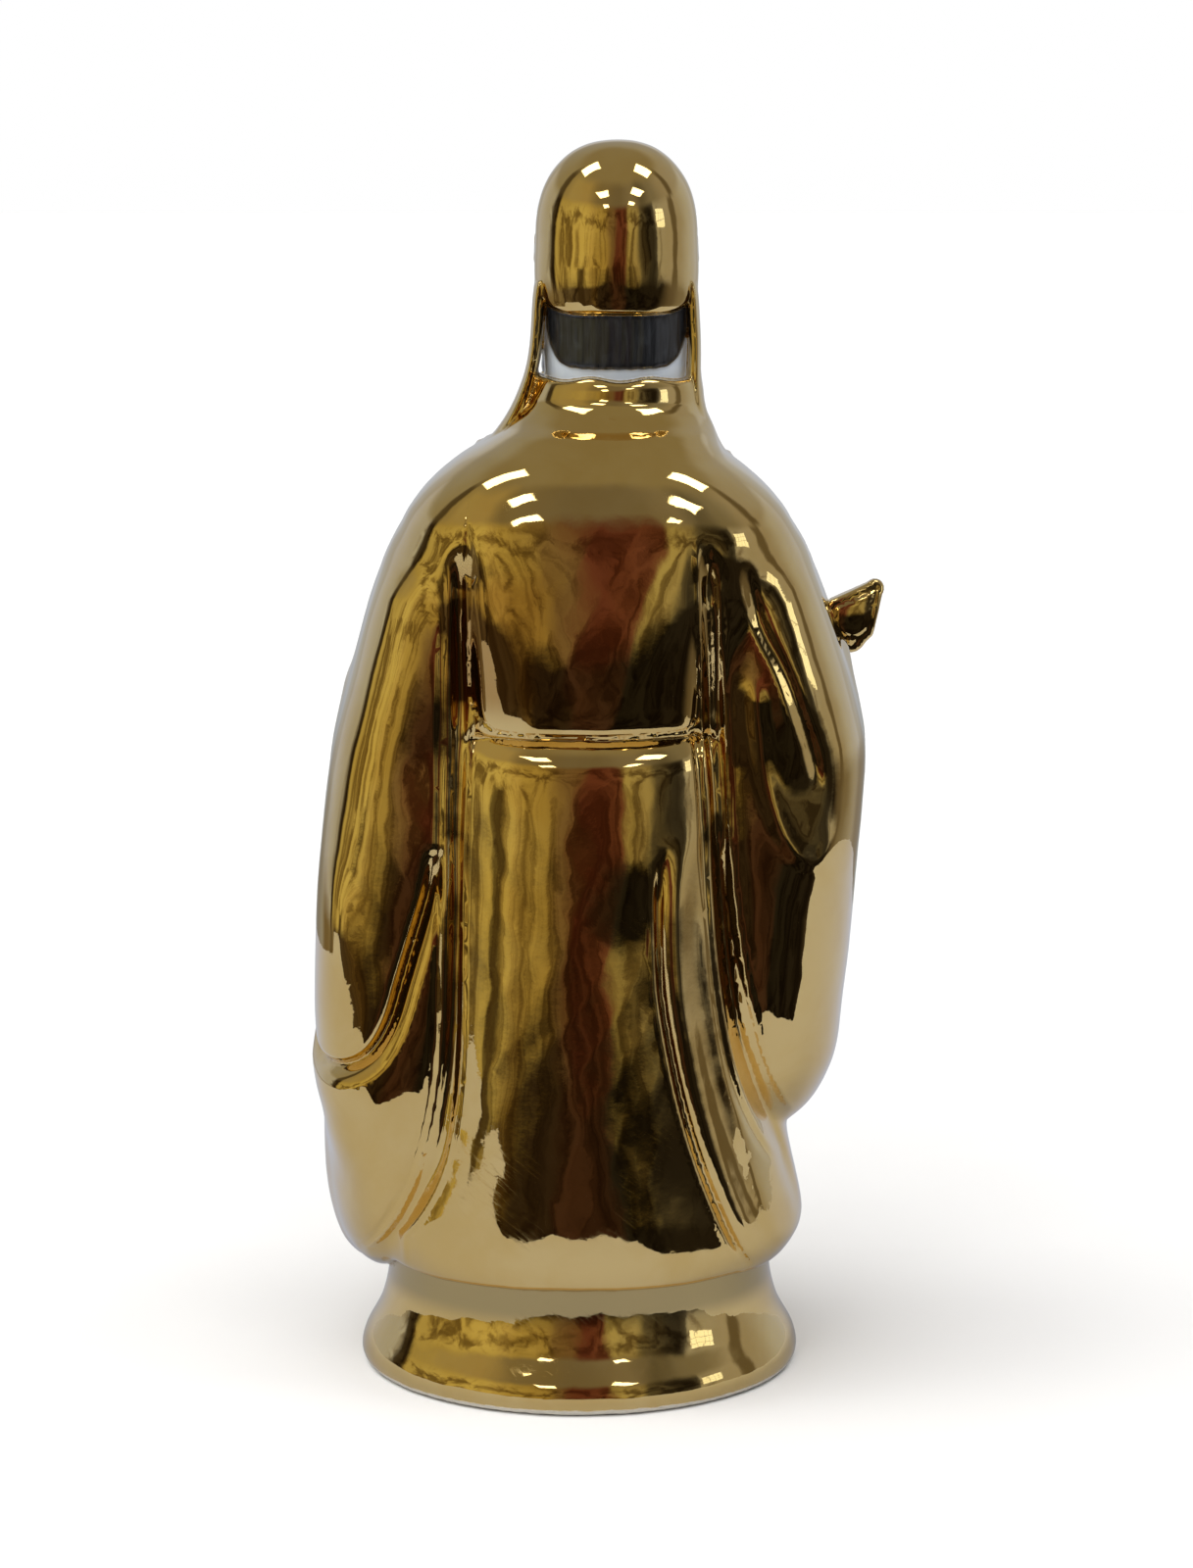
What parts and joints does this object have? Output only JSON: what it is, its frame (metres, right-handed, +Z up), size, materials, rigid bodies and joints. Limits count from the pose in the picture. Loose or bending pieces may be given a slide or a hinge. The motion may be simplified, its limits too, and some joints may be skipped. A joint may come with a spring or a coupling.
{
  "type": "lu xing figure",
  "caption": "Standing court official in gold-lustred porcelain with cap, lappets, wide sleeves and a sceptre, on a flared round plinth; stands on a shelf as an ornament.",
  "frame": {"origin": "Centre of the footprint of the outline, on the surface the plinth stands on.", "axes": "+Z up; the figure faces -Y; its right hand is towards -X and its left towards +X."},
  "size_m": [0.1426, 0.1041, 0.2999],
  "materials": {
    "gold_lustre_porcelain": "mirror-bright gold lustre over glaze, with clear-glazed white skin and black hair and beard"
  },
  "bodies": {
    "root": {"figure": "gold_lustre_porcelain"}
  },
  "joints": []
}
